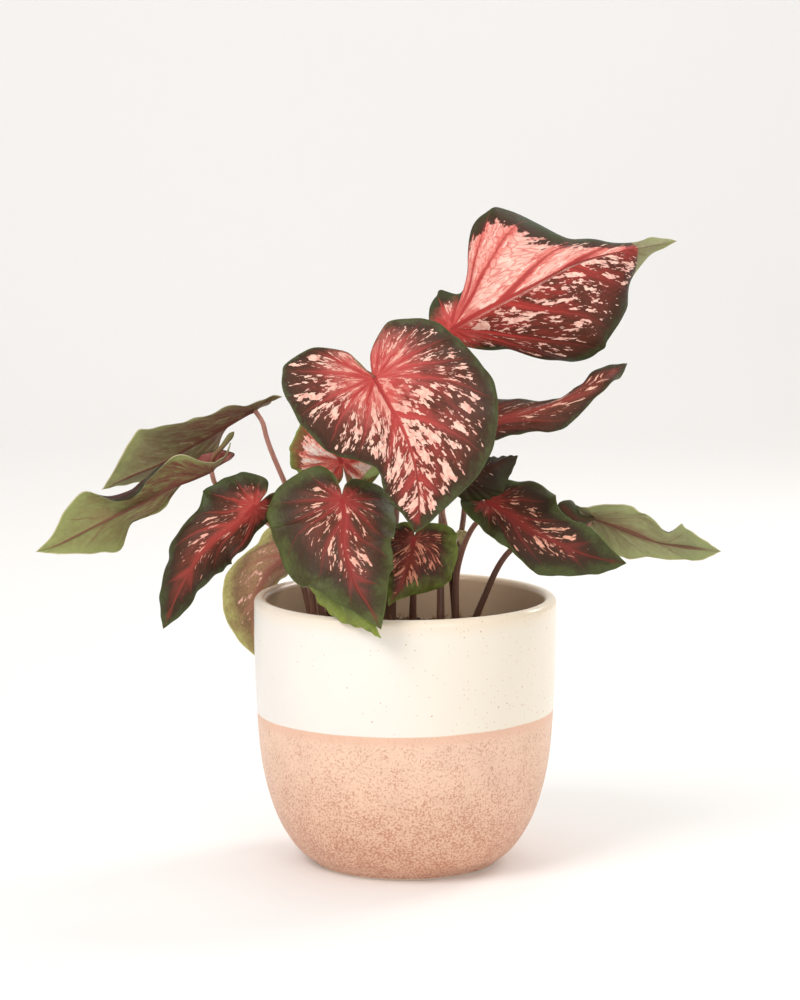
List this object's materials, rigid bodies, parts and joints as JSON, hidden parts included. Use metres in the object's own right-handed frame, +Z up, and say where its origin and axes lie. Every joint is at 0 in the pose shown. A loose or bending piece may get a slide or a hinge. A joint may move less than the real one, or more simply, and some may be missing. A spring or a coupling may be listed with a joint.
{
  "type": "potted caladium",
  "caption": "Heart-leaved house plant with long leafstalks rising from tubers in a round glazed pot.",
  "frame": {"origin": "on the surface that the pot stands on, under the middle of its foot", "axes": "+Z up along the pot's axis, -Y towards the plant's front as pictured, +X to the right"},
  "size_m": [0.3236, 0.1605, 0.3133],
  "materials": {
    "glaze": "satin stoneware glaze, cream above and speckled blush below",
    "potting_mix": "loose, dark brown and matt",
    "tuber": "rough brown skin",
    "stem": "smooth pinkish brown skin",
    "leaf": "soft satin, maroon to green with coral veins and pale pink splashes",
    "young_leaf": "soft satin, pale yellow-green"
  },
  "bodies": {
    "root": {"pot": "glaze", "potting_mix": "potting_mix", "tuber_left": "tuber", "tuber_middle": "tuber", "tuber_right": "tuber", "leaf_top_right": "leaf", "leaf_front_large": "leaf", "leaf_front_left": "leaf", "leaf_lime_under": "leaf", "leaf_centre_small": "leaf", "leaf_pale_pink": "leaf", "leaf_slender_right": "leaf", "leaf_dark_small": "leaf", "leaf_right_front": "leaf", "leaf_right_far": "leaf", "leaf_left_low": "leaf", "leaf_left_middle": "leaf", "leaf_left_upper": "leaf", "leaf_left_behind": "leaf", "leaf_rolled_young": "young_leaf", "bract_pale": "young_leaf", "stem_top_right": "stem", "stem_front_large": "stem", "stem_front_left": "stem", "stem_lime_under": "stem", "stem_centre_small": "stem", "stem_pale_pink": "stem", "stem_slender_right": "stem", "stem_dark_small": "stem", "stem_right_front": "stem", "stem_right_far": "stem", "stem_left_low": "stem", "stem_left_middle": "stem", "stem_left_upper": "stem", "stem_left_behind": "stem"}
  },
  "joints": []
}
